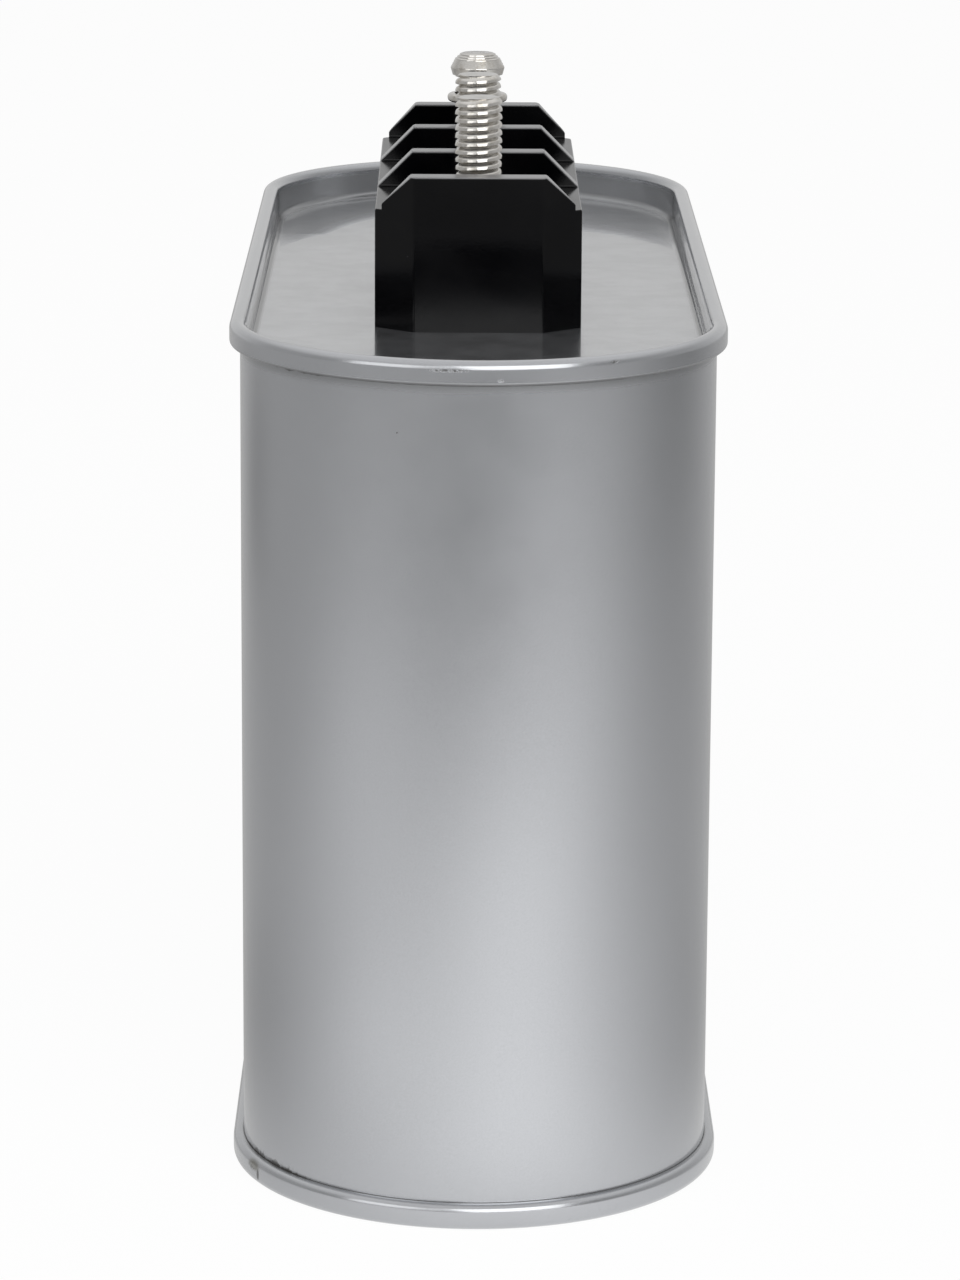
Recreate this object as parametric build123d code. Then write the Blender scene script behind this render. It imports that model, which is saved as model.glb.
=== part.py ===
# Power factor correction capacitor: an oval seamed can with a three-stud terminal block on its lid.
# Millimetres. +Z is up, the long axis of the can runs along Y, and the origin lies under its middle.

import os

from build123d import *

# Can: a sheet metal wall with both ends rolled on in double seams
can_width = 58.0
can_height = 106.4
sheet = 0.4
fold_gap = 0.03
hook_end_gap = 0.3
lid_seam_height = 2.9
base_seam_height = 3.2
crown_radius = 0.9
hem_radius = 1.1
countersink = 5.0
countersink_bevel = 1.0

# Terminal block: one moulding with a fin on each side of every stud
block_width = 26.0
floor_height = 15.0
fin_height = 4.5
fin_thickness = 3.4
fin_top_width = 17.0
corner_cut_width = 4.9
corner_cut_depth = 4.0
collar_radius = 5.0
collar_clearance = 0.2
core_wall = 3.0

# Studs, and what clamps them under the lid
stud_pitch = 23.6
stud_radius = 3.0
stud_reach = 12.9
stud_chamfer = 0.5
stud_tail = 1.5
stud_clearance = 0.1
shoulder_radius = 5.5
shoulder_height = 3.0
gasket_thickness = 1.0
gasket_margin = 0.5
plate_thickness = 2.0
plate_margin = 1.5
plate_corner_radius = 2.0
washer_radius = 6.0
washer_thickness = 1.0
nut_across_flats = 10.0
nut_height = 5.0

# Push-on cap and ring on the rear stud
cap_wall = 0.65
cap_foot_wall = 0.4
cap_height = 2.9
cap_belly = 0.9
cap_shoulder_drop = 0.9
cap_crown_radius = 2.15
cap_top = 0.9
ring_width = 1.05
ring_thickness = 1.1
ring_chamfer = 0.3
ring_lift = 6.35

# Solder tags, copper strip leads and discharge resistors
tag_width = 9.0
tag_thickness = 0.8
strip_width = 3.0
strip_thickness = 0.5
strip_gap = 1.0
strip_bend_radius = 2.2
wiring_room = 9.0
ear_margin = 2.0
contact_share = 0.4
resistor_radius = 2.0
resistor_length = 10.0
leg_radius = 0.4
leg_gap = 0.5

# Windings and their insulation
sleeve_clearance = 0.1
sleeve_wall = 0.95
winding_clearance = 0.3
winding_gap = 0.6
core_radius = 6.0
core_tube_wall = 1.5
core_clearance = 0.05
insulator_thickness = 1.0

# How far a cutting solid runs past the face it opens
overrun = 1.0

# The oval just holds three round windings side by side
body_radius = can_width / 2
sleeve_radius = body_radius - sheet - sleeve_clearance
winding_radius = sleeve_radius - sleeve_wall - winding_clearance
winding_pitch = 2 * winding_radius + winding_gap
straight = 2 * winding_pitch

# Layers of a seam, measured outwards from the outer face of the can wall
layer = sheet + fold_gap
seam_overhang = 3 * layer
chuck_face = -sheet - layer

# Levels above the surface that the can stands on
lid_face = can_height - countersink
lid_underside = lid_face - sheet
floor_level = lid_face + floor_height
fin_level = floor_level + fin_height
stud_tip = floor_level + stud_reach
capped_tip = stud_tip - cap_top
collar_foot = lid_underside - gasket_thickness
plate_underside = collar_foot - plate_thickness
tag_top = plate_underside - washer_thickness
tag_underside = tag_top - tag_thickness
nut_underside = tag_underside - nut_height
stud_foot = nut_underside - stud_tail
winding_top = stud_foot - wiring_room
winding_foot = countersink + sheet + insulator_thickness

# Plan sizes that follow
block_length = 3 * stud_pitch + fin_thickness
bay_length = stud_pitch - fin_thickness
stud_bore = stud_radius + stud_clearance
nut_corner = nut_across_flats / 3**0.5
ear_place = nut_corner + ear_margin + strip_width
tag_length = 2 * (ear_place + strip_width / 2 + strip_gap)

# One phase for each step along Y from the middle of the can
phases = {"front": -1, "middle": 0, "rear": 1}

rising = (Align.CENTER, Align.CENTER, Align.MIN)


def at(step, height):
    """Place on the axis of a stud, at a height."""
    return Pos(0, step * stud_pitch, height)


def oval(radius):
    """The outline of the can, drawn in or out until its round ends have this radius."""
    return SlotCenterToCenter(straight, 2 * radius, rotation=90)


def profile(points, rounds):
    """Closed outline, with the corners whose places in the list are in rounds made round."""
    outline = make_face(Polyline(*points, close=True))
    for corner, radius in rounds.items():
        nearest = outline.vertices().sort_by_distance(Vector(*points[corner]))[0]
        outline = fillet(nearest, radius)
    return outline


def carried_round(outline):
    """Carry an outline, drawn outwards and upwards from the can wall, all round the oval."""
    section = Plane.XZ * Pos(body_radius, 0) * outline
    side = extrude(section, straight / 2, both=True)
    end_axis = Axis((0, straight / 2, 0), (0, 0, 1))
    end = revolve(Pos(0, straight / 2, 0) * section, end_axis, 180)
    half = side + end
    return half + Rot(0, 0, 180) * half


def wall_hook(seam_height):
    """Corners of the hook at the upper end of the can wall, inside a seam of this height."""
    edge = can_height - layer
    hook_face = 2 * layer
    hook_foot = can_height - seam_height + sheet + hook_end_gap
    return [
        (0, edge - sheet),
        (hook_face - sheet, edge - sheet),
        (hook_face - sheet, hook_foot),
        (hook_face, hook_foot),
        (hook_face, edge),
        (-sheet, edge),
    ]


def can_body():
    """Can wall, with a hook turned out and back at each end inside the seams."""
    lower = [(out, can_height - up) for out, up in reversed(wall_hook(base_seam_height))]
    return carried_round(profile(wall_hook(lid_seam_height) + lower, {}))


def seamed_end(seam_height):
    """Pressed end panel, as it lies on top, with its rim rolled over and under the wall's hook."""
    hem = can_height - seam_height
    hook_top = can_height - layer - sheet - hook_end_gap
    rim_back = seam_overhang - sheet
    panel_edge = chuck_face - 2 * countersink_bevel
    rim = [
        (panel_edge, lid_underside),
        (panel_edge, lid_face),
        (chuck_face - countersink_bevel, lid_face),
        (chuck_face, lid_face + countersink_bevel),
        (chuck_face, can_height),
        (seam_overhang, can_height),
        (seam_overhang, hem),
        (fold_gap, hem),
        (fold_gap, hook_top),
        (layer, hook_top),
        (layer, hem + sheet),
        (rim_back - hook_end_gap, hem + sheet),
        (rim_back, hem + sheet + hook_end_gap),
        (rim_back, can_height - sheet),
        (chuck_face + sheet, can_height - sheet),
        (chuck_face + sheet, lid_underside),
    ]
    rounds = {rim.index(corner): crown_radius for corner in rim if corner[1] == can_height}
    rounds[rim.index((seam_overhang, hem))] = hem_radius
    panel = Pos(0, 0, lid_underside) * extrude(oval(body_radius + panel_edge), sheet)
    return carried_round(profile(rim, rounds)) + panel


def top_lid():
    """Upper end, pierced for the collars of the terminal block."""
    lid = seamed_end(lid_seam_height)
    for step in phases.values():
        hole = Cylinder(collar_radius + collar_clearance, sheet + 2 * overrun)
        lid -= at(step, lid_face - sheet / 2) * hole
    return lid


def bottom_end():
    """Lower end: a pressing of the same kind, turned over."""
    return mirror(seamed_end(base_seam_height), about=Plane.XY.offset(can_height / 2))


def terminal_block():
    """Moulded block: sloping shoulders, three bays between four fins, and collars through the lid."""
    half_width = block_width / 2
    half_length = block_length / 2
    quarter = [
        (half_width, half_length - corner_cut_depth),
        (half_width - corner_cut_width, half_length),
    ]
    half = quarter + [(-across, along) for across, along in reversed(quarter)]
    plan = profile(half + [(-across, -along) for across, along in half], {})
    bar = Pos(0, 0, lid_face) * extrude(plan, floor_height + fin_height)
    shoulders = [
        (-half_width, lid_face),
        (half_width, lid_face),
        (half_width, floor_level),
        (fin_top_width / 2, fin_level),
        (-fin_top_width / 2, fin_level),
        (-half_width, floor_level),
    ]
    block = bar & extrude(Plane.XZ * profile(shoulders, {}), half_length, both=True)
    collar = Cylinder(collar_radius, lid_face - collar_foot, align=rising)
    bay = Box(block_width + 2 * overrun, bay_length, fin_height + overrun, align=rising)
    pocket = Cylinder(shoulder_radius + stud_clearance, shoulder_height + overrun, align=rising)
    bore = Cylinder(stud_bore, floor_level - collar_foot + 2 * overrun, align=rising)
    for step in phases.values():
        block += at(step, collar_foot) * collar
        block -= at(step, floor_level) * bay
        block -= at(step, floor_level - shoulder_height) * pocket
        block -= at(step, collar_foot - overrun) * bore
    core_length = stud_pitch - 2 * (shoulder_radius + core_wall)
    core_depth = floor_height - core_wall + overrun
    core = Box(block_width - 2 * core_wall, core_length, core_depth, align=rising)
    for between in (-1 / 2, 1 / 2):
        block -= at(between, lid_face - overrun) * core
    return block


def stud(step, tip):
    """Terminal stud, with a round shoulder let into the floor of its bay."""
    rod = Cylinder(stud_radius, tip - stud_foot, align=rising)
    rod = chamfer(rod.edges().sort_by(Axis.Z)[-1], stud_chamfer)
    shoulder = Cylinder(shoulder_radius, shoulder_height, align=rising)
    return at(step, stud_foot) * rod + at(step, floor_level - shoulder_height) * shoulder


def stud_cap(step):
    """Barrel-shaped cap pushed over the tip of a stud, hollowed to fit its bevel."""
    barrel = [
        (0, 0),
        (stud_radius + cap_foot_wall, 0),
        (stud_radius + cap_wall, cap_belly),
        (stud_bore, cap_height - cap_shoulder_drop),
        (cap_crown_radius, cap_height),
        (0, cap_height),
    ]
    cap = revolve(Plane.XZ * profile(barrel, {}), Axis.Z)
    hollow = Cylinder(stud_bore, cap_height - cap_top + overrun, align=rising)
    hollow = chamfer(hollow.edges().sort_by(Axis.Z)[-1], stud_chamfer)
    return at(step, stud_tip - cap_height) * (cap - Pos(0, 0, -overrun) * hollow)


def stud_ring(step):
    """Thin ring that grips the thread of a stud."""
    ring = Cylinder(stud_radius + ring_width, ring_thickness, align=rising)
    ring = chamfer(ring.edges().filter_by(GeomType.CIRCLE), ring_chamfer)
    ring -= Cylinder(stud_bore, ring_thickness + 2 * overrun)
    return at(step, floor_level + ring_lift) * ring


def under_lid_sheet(margin, thickness, hole_radius):
    """Flat sheet under the lid, smaller than the block by a margin, with a hole for each stud."""
    outline = RectangleRounded(block_width - 2 * margin, block_length - 2 * margin, plate_corner_radius)
    for step in phases.values():
        outline -= at(step, 0) * Circle(hole_radius)
    return extrude(outline, thickness)


def washer(step):
    """Flat washer between the clamp plate and a solder tag."""
    return at(step, tag_top) * extrude(Circle(washer_radius) - Circle(stud_bore), washer_thickness)


def nut(step):
    """Hexagon nut that draws a stud's shoulder down on the block."""
    outline = RegularPolygon(nut_corner, 6) - Circle(stud_bore)
    return at(step, nut_underside) * extrude(outline, nut_height)


def solder_tag(step):
    """Flat tag held by a nut, with an ear on each side for the leads."""
    outline = SlotOverall(tag_length, tag_width) - Circle(stud_bore)
    return at(step, tag_underside) * extrude(outline, tag_thickness)


def strip(points):
    """Copper strip that drops, runs level and drops again through these four points."""
    path = FilletPolyline(*points, radius=strip_bend_radius)
    level_run = Vector(*points[2]) - Vector(*points[1])
    start = Plane(origin=path @ 0, x_dir=level_run.cross(Vector(0, 0, 1)), z_dir=path % 0)
    return sweep(start * Rectangle(strip_width, strip_thickness), path=path)


def feed_lead(step):
    """Lead from one ear of a tag to the sprayed upper end of its own winding."""
    level = (stud_foot + winding_top) / 2
    inward = -1 if step > 0 else 1
    start = step * stud_pitch
    finish = step * winding_pitch + inward * contact_share * winding_radius
    return strip(
        [
            (-ear_place, start, tag_underside),
            (-ear_place, start, level),
            (-ear_place, finish, level),
            (-ear_place, finish, winding_top),
        ]
    )


def return_lead(step):
    """Lead from the other ear of a tag, down the core of the next winding to its lower end."""
    upper_level = stud_foot - strip_gap - strip_thickness / 2
    lower_level = winding_top + strip_gap + strip_thickness / 2
    last = step == max(phases.values())
    level = lower_level if last else upper_level
    next_step = min(phases.values()) if last else step + 1
    start = step * stud_pitch
    finish = next_step * winding_pitch
    return strip(
        [
            (ear_place, start, tag_underside),
            (ear_place, start, level),
            (0, finish, level),
            (0, finish, winding_foot),
        ]
    )


def discharge_resistor(between):
    """Resistor across two neighbouring tags, its legs laid along their undersides."""
    lie = Rot(90, 0, 0)
    body = lie * Cylinder(resistor_radius, resistor_length)
    legs = lie * Cylinder(leg_radius, stud_pitch - 2 * leg_gap)
    aside = -(nut_corner + ear_place - strip_width / 2) / 2
    return Pos(aside, 0, 0) * at(between, tag_underside - leg_radius) * (body + legs)


def winding(step):
    """Roll of metallised film with sprayed ends."""
    roll = Circle(winding_radius) - Circle(core_radius + core_clearance)
    return Pos(0, step * winding_pitch, winding_foot) * extrude(roll, winding_top - winding_foot)


def core_tube(step):
    """Tube that the film is wound on."""
    tube = Circle(core_radius) - Circle(core_radius - core_tube_wall)
    return Pos(0, step * winding_pitch, winding_foot) * extrude(tube, winding_top - winding_foot)


def insulating_sleeve():
    """Film sleeve between the windings and the can wall."""
    wall = oval(sleeve_radius) - oval(sleeve_radius - sleeve_wall)
    return Pos(0, 0, winding_foot) * extrude(wall, plate_underside - winding_foot)


def bottom_insulator():
    """Board that the windings and the sleeve stand on."""
    return Pos(0, 0, countersink + sheet) * extrude(oval(sleeve_radius), insulator_thickness)


nodes = {
    "can_body": can_body(),
    "top_lid": top_lid(),
    "bottom_end": bottom_end(),
    "terminal_block": terminal_block(),
    "rear_stud_cap": stud_cap(phases["rear"]),
    "rear_stud_ring": stud_ring(phases["rear"]),
    "lid_gasket": Pos(0, 0, collar_foot)
    * under_lid_sheet(gasket_margin, gasket_thickness, collar_radius + collar_clearance),
    "clamp_plate": Pos(0, 0, plate_underside) * under_lid_sheet(plate_margin, plate_thickness, stud_bore),
    "base_washers": Compound(children=[washer(step) for step in phases.values()]),
    "base_nuts": Compound(children=[nut(step) for step in phases.values()]),
    "insulating_sleeve": insulating_sleeve(),
    "bottom_insulator": bottom_insulator(),
    "front_discharge_resistor": discharge_resistor(-1 / 2),
    "rear_discharge_resistor": discharge_resistor(1 / 2),
}
for name, step in phases.items():
    nodes[f"{name}_stud"] = stud(step, capped_tip if name == "rear" else stud_tip)
    nodes[f"{name}_solder_tag"] = solder_tag(step)
    nodes[f"{name}_feed_lead"] = feed_lead(step)
    nodes[f"{name}_return_lead"] = return_lead(step)
    nodes[f"{name}_winding"] = winding(step)
    nodes[f"{name}_core_tube"] = core_tube(step)

os.makedirs("parts", exist_ok=True)
for name, solid in nodes.items():
    export_step(solid, f"parts/{name}.step")
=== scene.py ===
import math
from functools import partial

import bmesh
import bpy
from bmesh.types import BMEdge, BMVert
from bpy.props import FloatProperty, FloatVectorProperty, IntProperty, PointerProperty
from bpy.types import NodeSocket
from mathutils import Matrix, Vector


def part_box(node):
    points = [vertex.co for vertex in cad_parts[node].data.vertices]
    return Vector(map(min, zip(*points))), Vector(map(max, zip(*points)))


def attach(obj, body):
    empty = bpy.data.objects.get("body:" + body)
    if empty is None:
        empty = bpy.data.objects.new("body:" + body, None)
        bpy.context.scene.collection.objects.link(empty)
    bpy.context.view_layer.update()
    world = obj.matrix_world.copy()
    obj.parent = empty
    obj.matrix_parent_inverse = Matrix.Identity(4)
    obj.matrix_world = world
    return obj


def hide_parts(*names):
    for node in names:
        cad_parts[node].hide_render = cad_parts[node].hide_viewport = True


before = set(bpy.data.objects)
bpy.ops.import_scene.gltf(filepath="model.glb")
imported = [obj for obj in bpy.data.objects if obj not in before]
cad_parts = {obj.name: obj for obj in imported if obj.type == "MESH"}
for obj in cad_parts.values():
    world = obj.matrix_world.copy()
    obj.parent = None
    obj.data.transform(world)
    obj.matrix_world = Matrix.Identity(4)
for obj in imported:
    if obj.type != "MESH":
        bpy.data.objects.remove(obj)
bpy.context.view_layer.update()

bl_info = {
    "name": "Seamed Can Capacitor",
    "version": (1, 0, 0),
    "blender": (4, 5, 0),
    "location": "View3D > Sidebar > Capacitor",
    "description": "Dresses an oval power capacitor: seamed can, finned terminal block and threaded studs",
    "category": "Add Mesh",
}

# The object's box as the solids give it, and the boxes that the defaults come from
lid_low, lid_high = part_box("top_lid")
block_low, block_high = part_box("terminal_block")
front_stud_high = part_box("front_stud")[1]
rear_stud_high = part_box("rear_stud")[1]
cap_low, cap_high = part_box("rear_stud_cap")
ring_low, ring_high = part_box("rear_stud_ring")

MM = 0.001
PHASES = {"front": -1, "middle": 0, "rear": 1}
STUD_SPACING = (rear_stud_high.y - front_stud_high.y) / 2

# Where shading breaks, what is flat, what is one point, and how far up a level face points
SHARP_ANGLE = math.radians(38)
FLAT_ANGLE = math.radians(1)
MERGE_DISTANCE = 0.0005 * MM
LIES_LEVEL = 0.9

# Faces round an edge of the moulding, a tight round and a wide one, and round each kind of circle
EDGE_STEPS = 3
FILLET_STEPS = 6
ROUND_STEPS = 8
HOLE_STEPS = 48
POCKET_STEPS = 64
FLOOR_STEPS = 96

# The camera that was fitted to the picture: place, and focal length over the picture's height, in pixels
CAMERA_PLACE = (-2.705 * MM, -665.2 * MM, 210.8 * MM)
LENS_SHARE = 5083 / 1280

# Round of the ring's edges, as a share of its height, and depth of the relief on sealed pieces
RING_ROUND = 0.42
INNER_RELIEF = 0.02 * MM


def described(kind, name, description, default, **options):
    """A setting, as the panel shows it."""
    return kind(name=name, description=description, default=default, **options)


# Kinds of setting: metres, a linear colour, a share from nothing to all, radians, a whole number, a place
length = partial(described, FloatProperty, unit="LENGTH", precision=5)
colour = partial(described, FloatVectorProperty, subtype="COLOR", size=3, min=0, max=1)
share = partial(described, FloatProperty, subtype="FACTOR", min=0, max=1)
angle = partial(described, FloatProperty, subtype="ANGLE")
count = partial(described, IntProperty, min=1)
place_in_metres = partial(described, FloatVectorProperty, subtype="TRANSLATION", unit="LENGTH", size=3)


class CanSettings(bpy.types.PropertyGroup):
    """Sizes of the oval can and of its two double seams"""

    rim_radius: length("Rim Radius", "Radius of the round ends over the seams", lid_high.x)
    half_straight: length("Half Straight", "Half the length of the straight sides", lid_high.y - lid_high.x)
    height: length("Height", "Height over both seams", lid_high.z)
    sheet: length("Sheet", "Thickness of the sheet metal", 0.4 * MM)
    fold_gap: length("Fold Gap", "Room between two layers of a seam", 0.03 * MM)
    hook_gap: length("Hook Gap", "Room at the end of each hook", 0.3 * MM)
    lid_seam: length("Lid Seam", "Height of the upper seam", 2.9 * MM)
    base_seam: length("Base Seam", "Height of the lower seam", 3.2 * MM)
    crown_radius: length("Crown Radius", "Round on top of a seam", 1.05 * MM)
    lid_hem_radius: length("Lid Hem Radius", "Round of the upper seam beside the wall", 0.38 * MM)
    base_hem_radius: length("Base Hem Radius", "Round of the lower seam beside the wall", 0.95 * MM)
    countersink: length("Countersink", "Depth of the lid below the seam", lid_high.z - lid_low.z - 0.4 * MM)
    countersink_radius: length("Countersink Radius", "Round at the foot of the recess", 1.0 * MM)
    panel_margin: length("Panel Margin", "Flat border inside that round", 1.0 * MM)
    turn_steps: count("Turn Steps", "Faces round one end of the oval", 72)


class BlockSettings(bpy.types.PropertyGroup):
    """Sizes of the moulded terminal block"""

    width: length("Width", "Width of the block", block_high.x - block_low.x)
    length: length("Length", "Length of the block", block_high.y - block_low.y)
    fin_level: length("Fin Level", "Height of the fin tops above the ground", block_high.z)
    fin_height: length("Fin Height", "Height of a fin above the floor of a bay", 4.5 * MM)
    fin_thickness: length("Fin Thickness", "Thickness of a fin", 3.4 * MM)
    fin_top_width: length("Fin Top Width", "Width of a fin along its top", 17 * MM)
    corner_cut_width: length("Corner Cut Width", "How much a cut corner takes from the end face", 4.9 * MM)
    corner_cut_depth: length("Corner Cut Depth", "How much a cut corner takes from the side", 4.0 * MM)
    edge_radius: length("Edge Radius", "Round on the edges of the moulding", 0.22 * MM)
    pocket_radius: length("Pocket Radius", "Radius of the recess for a stud's shoulder", 5.6 * MM)
    pocket_depth: length("Pocket Depth", "Depth of that recess", 3.0 * MM)
    collar_radius: length("Collar Radius", "Radius of the collars that pass through the lid", 5.0 * MM)


class StudSettings(bpy.types.PropertyGroup):
    """Sizes of the threaded studs and of the cap and ring on the rear one"""

    radius: length("Radius", "Radius over the thread", 3.0 * MM)
    pitch: length("Pitch", "Rise of the thread in one turn", 1.0 * MM)
    thread_depth: length("Thread Depth", "Depth of the thread", 0.58 * MM)
    chamfer: length("Chamfer", "Bevel at the tip", 0.5 * MM)
    shoulder_radius: length("Shoulder Radius", "Radius of the shoulder in the floor of a bay", 5.5 * MM)
    shoulder_height: length("Shoulder Height", "Height of that shoulder", 3.0 * MM)
    spacing: length("Spacing", "Distance from one stud to the next", STUD_SPACING)
    clearance: length("Clearance", "Room between a stud and what is pushed on it", 0.1 * MM)
    cap_foot_wall: length("Cap Foot Wall", "Wall of the cap at its foot", 0.4 * MM)
    cap_belly: length("Cap Belly", "Height of the widest place of the cap", 0.9 * MM)
    cap_shoulder_drop: length("Cap Shoulder Drop", "Height of the slope under the cap's crown", 0.9 * MM)
    cap_grooves: count("Cap Grooves", "Steps on each slope of the cap", 3)
    cap_groove_share: share("Cap Groove Share", "Share of a step that slopes", 0.4)
    cap_groove_lean: share("Cap Groove Lean", "How far the face of a step leans in as it rises", 0.27)
    cap_crown_radius: length("Cap Crown Radius", "Radius of the flat on the cap", 2.15 * MM)
    turn_steps: count("Turn Steps", "Faces round one turn", 48)


class FinishSettings(bpy.types.PropertyGroup):
    """Colours of the finishes"""

    paint: colour("Paint", "Silver grey paint of the can", (0.55, 0.562, 0.585))
    paint_shade: colour("Paint Shade", "Darker tone between the flakes of the paint", (0.45, 0.46, 0.478))
    # This colour paints dirt and scuffs, and also the painted shadow lines in the folds and the painted
    # shade in the lid's recess
    grime_and_shade: colour("Grime", "Dirt in the folds and scuffs", (0.06, 0.058, 0.055))
    moulding: colour("Moulding", "Black plastic of the block", (0.0010, 0.0010, 0.0015))
    # This colour is used for haze and specks, and it also paints the fin tops and shoulders paler as painted
    # highlight lines
    dust_and_highlight: colour("Dust", "Dust on the block", (0.36, 0.36, 0.368))
    plating: colour("Plating", "Bright plating of the studs", (0.74, 0.72, 0.685))
    plating_shade: colour("Plating Shade", "Warm tarnish in patches", (0.50, 0.465, 0.405))
    smear: colour("Smear", "Olive dirt on the lower seam", (0.17, 0.165, 0.14))
    scuff_amount: share("Scuffs", "How strongly the scuffs show", 0.85)


class StageSettings(bpy.types.PropertyGroup):
    """Camera, floor and lights"""

    camera_place: place_in_metres("Camera Place", "Where the camera stands", CAMERA_PLACE)
    camera_yaw: angle("Yaw", "Turn to the right", 0.005077)
    camera_pitch: angle("Pitch", "Tilt downwards", 0.2328)
    camera_roll: angle("Roll", "Lean of the picture", 0.005994)
    lens_share: described(FloatProperty, "Lens", "Focal length over the picture's height", LENS_SHARE)
    floor_radius: length("Floor Radius", "Radius of the pale floor", 4.0)
    floor_tone: share("Floor Tone", "Brightness of the floor that the part mirrors", 0.45)
    surround: share("Surround", "Brightness of the studio beside the part, as it mirrors it", 0.42)
    front: share("Front", "Brightness of the studio behind the camera", 0.30)
    overhead: share("Overhead", "Brightness of the studio above the part, as it mirrors it", 0.82)
    backdrop: share("Backdrop", "Brightness of the studio behind the part, as it mirrors it", 0.62)
    ambient: share("Ambient", "Brightness of the light from all round", 0.30)


def lid_level(can):
    """Height of the lid's panel."""
    return can.height - can.countersink


def wall_face(can):
    """How far out the outer face of the wall lies, under three layers of a seam."""
    return can.rim_radius - 3 * (can.sheet + can.fold_gap)


def recess_face(can):
    """How far out the wall of an end's recess lies."""
    return wall_face(can) - 2 * can.sheet - can.fold_gap


def bay_floor(block):
    """Height of the floor of the bays."""
    return block.fin_level - block.fin_height


def everything(bm):
    """All the vertices, edges and faces of a bmesh."""
    return bm.verts[:] + bm.edges[:] + bm.faces[:]


def only(kind, parts):
    """The parts that are of one kind."""
    return [part for part in parts if isinstance(part, kind)]


def add_wire(bm, points):
    """Put a chain of points, outwards and upwards, in a bmesh as vertices and edges."""
    corners = [bm.verts.new((out, 0, up)) for out, up in points]
    edges = [bm.edges.new(pair) for pair in zip(corners, corners[1:])]
    return corners, edges


def section_wire(points):
    """A bmesh that holds a chain of points, and its vertices."""
    bm = bmesh.new()
    return bm, add_wire(bm, points)[0]


def round_off(bm, parts, radius, segments, affect="VERTICES"):
    """Round the corners of a wire, or the edges of a shape."""
    bmesh.ops.bevel(
        bm,
        geom=parts,
        offset=radius,
        offset_type="OFFSET",
        segments=segments,
        profile=0.5,
        affect=affect,
        clamp_overlap=True,
        material=-1,
    )


def carry_round(bm, half_straight, margin, steps):
    """Carry the wire in a bmesh down both sides and round both ends of the oval."""
    move(bm, (0, -half_straight, 0))
    wire = bm.edges[:]
    runs = (margin, 2 * half_straight - 2 * margin, margin)
    for way in (1, -1):
        for run in runs:
            grown = bmesh.ops.extrude_edge_only(bm, edges=wire)["geom"]
            ends = only(BMVert, grown)
            move(bm, (0, way * run, 0), ends)
            reached = set(ends)
            wire = [edge for edge in only(BMEdge, grown) if reached.issuperset(edge.verts)]
        swept = bmesh.ops.spin(
            bm,
            geom=ends + wire,
            cent=(0, way * half_straight, 0),
            axis=(0, 0, 1),
            angle=math.pi,
            steps=steps,
            use_merge=False,
        )["geom_last"]
        wire = only(BMEdge, swept)
    bmesh.ops.remove_doubles(bm, verts=bm.verts[:], dist=MERGE_DISTANCE)


def move(bm, vec, verts=None):
    """Move some of the vertices of a bmesh, or all of them."""
    bmesh.ops.translate(bm, verts=bm.verts[:] if verts is None else verts, vec=vec)


def full_turn(bm, parts, steps):
    """Turn parts of a bmesh once round the upright axis."""
    bmesh.ops.spin(
        bm,
        geom=parts,
        cent=(0, 0, 0),
        axis=(0, 0, 1),
        angle=2 * math.pi,
        steps=steps,
        use_merge=True,
    )
    bmesh.ops.remove_doubles(bm, verts=bm.verts[:], dist=MERGE_DISTANCE)


def lathe(bm, points, steps):
    """Turn a chain of points, outwards and upwards from the axis, into a closed round shape."""
    corners, edges = add_wire(bm, points)
    full_turn(bm, corners + edges, steps)


def circle_edges(bm, radius, segments, place):
    """The edges of a new level circle."""
    ring = bmesh.ops.create_circle(
        bm, cap_ends=False, segments=segments, radius=radius, matrix=Matrix.Translation(place)
    )["verts"]
    return list(dict.fromkeys(edge for corner in ring for edge in corner.link_edges))


def close_holes(bm):
    """Fill every open loop with a face."""
    bmesh.ops.holes_fill(bm, edges=[edge for edge in bm.edges if edge.is_boundary], sides=0)


def put_in_scene(name, data):
    """A new object in the scene."""
    holder = bpy.data.objects.new(name, data)
    bpy.context.scene.collection.objects.link(holder)
    return holder


# The finish of each slot that a visible piece has
SLOT_FINISHES = {
    "can_paint": "silver_paint",
    "block_plastic": "black_moulding",
    "plated_steel": "bright_plating",
}


def piece_from(bm, name, slot, *nodes):
    """Finish a bmesh as a piece that rides on the part and stands for its solids."""
    bmesh.ops.recalc_face_normals(bm, faces=bm.faces[:])
    for face in bm.faces:
        face.smooth = True
    for edge in bm.edges:
        edge.smooth = edge.calc_face_angle(0) < SHARP_ANGLE
    if any(edge.is_boundary for edge in bm.edges):
        raise RuntimeError(f"{name} isn't closed")
    mesh = bpy.data.meshes.new(name)
    bm.to_mesh(mesh)
    bm.free()
    mesh.materials.append(bpy.data.materials[SLOT_FINISHES[slot]])
    piece = put_in_scene(name, mesh)
    even = piece.modifiers.new("even_shading", "WEIGHTED_NORMAL")
    even.keep_sharp = True
    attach(piece, "root")
    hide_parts(*nodes)


# How much of the reach of a speck, a patch and a band is full strength, before it fades
SPECK_CORE = 0.4
PATCH_CORE = 0.35
BAND_CORE = 0.25


def object_place(tree):
    """Where a point of the surface lies in the part's own frame."""
    return tree.nodes.new("ShaderNodeTexCoord").outputs["Object"]


def empty_tree(owner):
    """The cleared node tree of a material or a world."""
    owner.use_nodes = True
    owner.node_tree.nodes.clear()
    return owner.node_tree


def new_material(name):
    """A material, its shader and the place of a point of its surface."""
    material = bpy.data.materials.new(name)
    tree = empty_tree(material)
    shader = tree.nodes.new("ShaderNodeBsdfPrincipled")
    output = tree.nodes.new("ShaderNodeOutputMaterial")
    feed(output.inputs["Surface"], shader.outputs["BSDF"])
    return material, shader, object_place(tree)


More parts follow.
